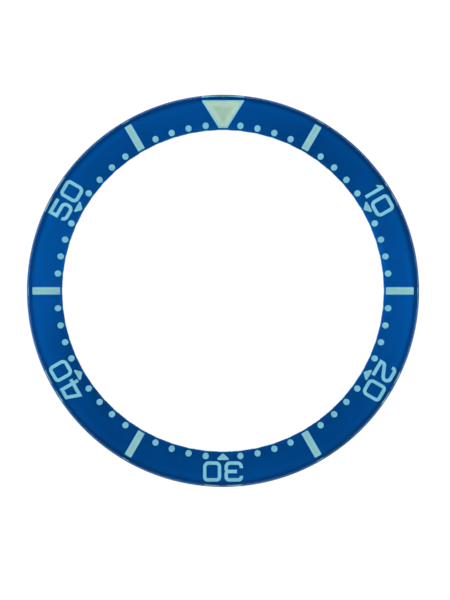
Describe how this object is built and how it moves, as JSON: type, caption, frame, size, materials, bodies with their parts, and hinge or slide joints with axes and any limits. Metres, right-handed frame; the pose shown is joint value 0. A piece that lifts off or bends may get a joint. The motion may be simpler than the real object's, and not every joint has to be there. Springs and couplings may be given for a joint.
{
  "type": "watch bezel insert",
  "caption": "Flat ring insert for a diving watch's bezel: a clear domed sapphire ring over a blue ground, with a luminous minute scale and a triangle at twelve.",
  "frame": {"origin": "centre of the ring, on the underside of the adhesive tape", "axes": "+Z is the ring's axis and points out of the face; +Y points at the triangle, twelve o'clock; +X points at the bar of minute 15"},
  "size_m": [0.038, 0.038, 0.0018],
  "materials": {
    "sapphire": "clear polished sapphire with an anti-reflection coat",
    "blue_lacquer": "blue metallic lacquer, satin",
    "sealing_coat": "dark sealing paint, matt",
    "adhesive_tape": "translucent double-sided tape, matt",
    "lume": "pale green-white luminous filling, fine grained"
  },
  "bodies": {
    "root": {"crystal_ring": "sapphire", "blue_lacquer": "blue_lacquer", "sealing_coat": "sealing_coat", "adhesive_ring": "adhesive_tape", "triangle_marker": "lume", "bar_05": "lume", "bar_15": "lume", "bar_25": "lume", "bar_35": "lume", "bar_45": "lume", "bar_55": "lume", "numeral_10_tens": "lume", "numeral_10_units": "lume", "arrowhead_10": "lume", "numeral_20_tens": "lume", "numeral_20_units": "lume", "arrowhead_20": "lume", "numeral_30_tens": "lume", "numeral_30_units": "lume", "arrowhead_30": "lume", "numeral_40_tens": "lume", "numeral_40_units": "lume", "arrowhead_40": "lume", "numeral_50_tens": "lume", "numeral_50_units": "lume", "arrowhead_50": "lume", "dots_01_04": "lume", "dots_06_09": "lume", "dots_11_14": "lume", "dots_16_19": "lume", "dots_21_24": "lume", "dots_26_29": "lume", "dots_31_34": "lume", "dots_36_39": "lume", "dots_41_44": "lume", "dots_46_49": "lume", "dots_51_54": "lume", "dots_56_59": "lume"}
  },
  "joints": []
}
